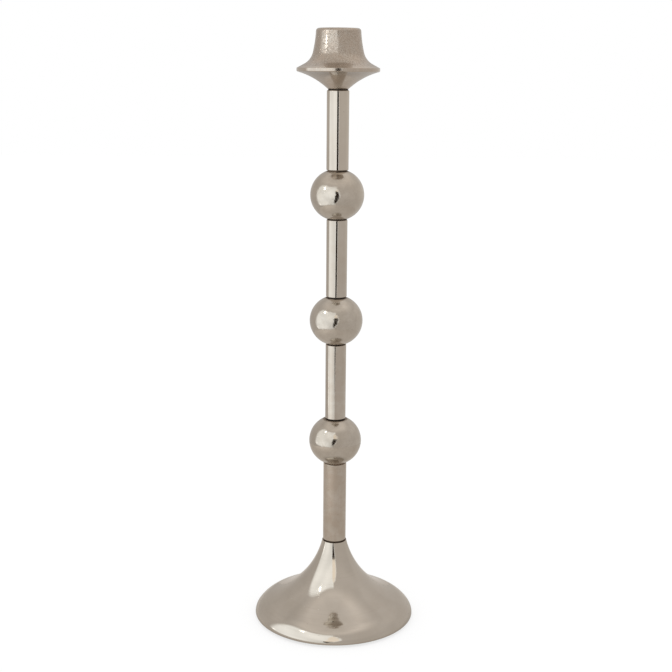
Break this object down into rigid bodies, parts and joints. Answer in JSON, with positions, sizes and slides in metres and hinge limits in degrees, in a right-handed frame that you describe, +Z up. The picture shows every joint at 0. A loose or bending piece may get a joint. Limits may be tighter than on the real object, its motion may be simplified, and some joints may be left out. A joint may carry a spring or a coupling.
{
  "type": "candlestick",
  "caption": "Table candlestick: weighted trumpet foot, round stem of plain tubes and balls, and a cup-shaped candle socket with a wide drip pan.",
  "frame": {"origin": "middle of the felt's underside, on the surface that the candlestick stands on", "axes": "+Z up along the stem; the candlestick is round, so +X and +Y are any two directions across it"},
  "size_m": [0.0994, 0.0994, 0.3606],
  "materials": {
    "polished_plate": "polished nickel plate on brass, lightly tarnished at the joints",
    "cast_plate": "nickel plate over a finely pitted casting",
    "brass": "turned, unplated",
    "steel": "zinc plated",
    "cast_iron": "rough casting",
    "felt": "pressed wool felt"
  },
  "bodies": {
    "root": {"foot_shell": "polished_plate", "foot_weight": "cast_iron", "felt_pad": "felt", "neck_plug": "brass", "tie_rod": "steel", "clamp_washer": "steel", "lock_washer": "steel", "clamp_nut": "steel", "lower_tube": "polished_plate", "second_tube": "polished_plate", "third_tube": "polished_plate", "top_tube": "polished_plate", "lower_ball": "polished_plate", "middle_ball": "polished_plate", "upper_ball": "polished_plate", "lower_tube_bottom_bush": "brass", "lower_tube_top_bush": "brass", "second_tube_bottom_bush": "brass", "second_tube_top_bush": "brass", "third_tube_bottom_bush": "brass", "third_tube_top_bush": "brass", "top_tube_bottom_bush": "brass", "top_tube_top_bush": "brass", "candle_cup": "cast_plate"}
  },
  "joints": []
}
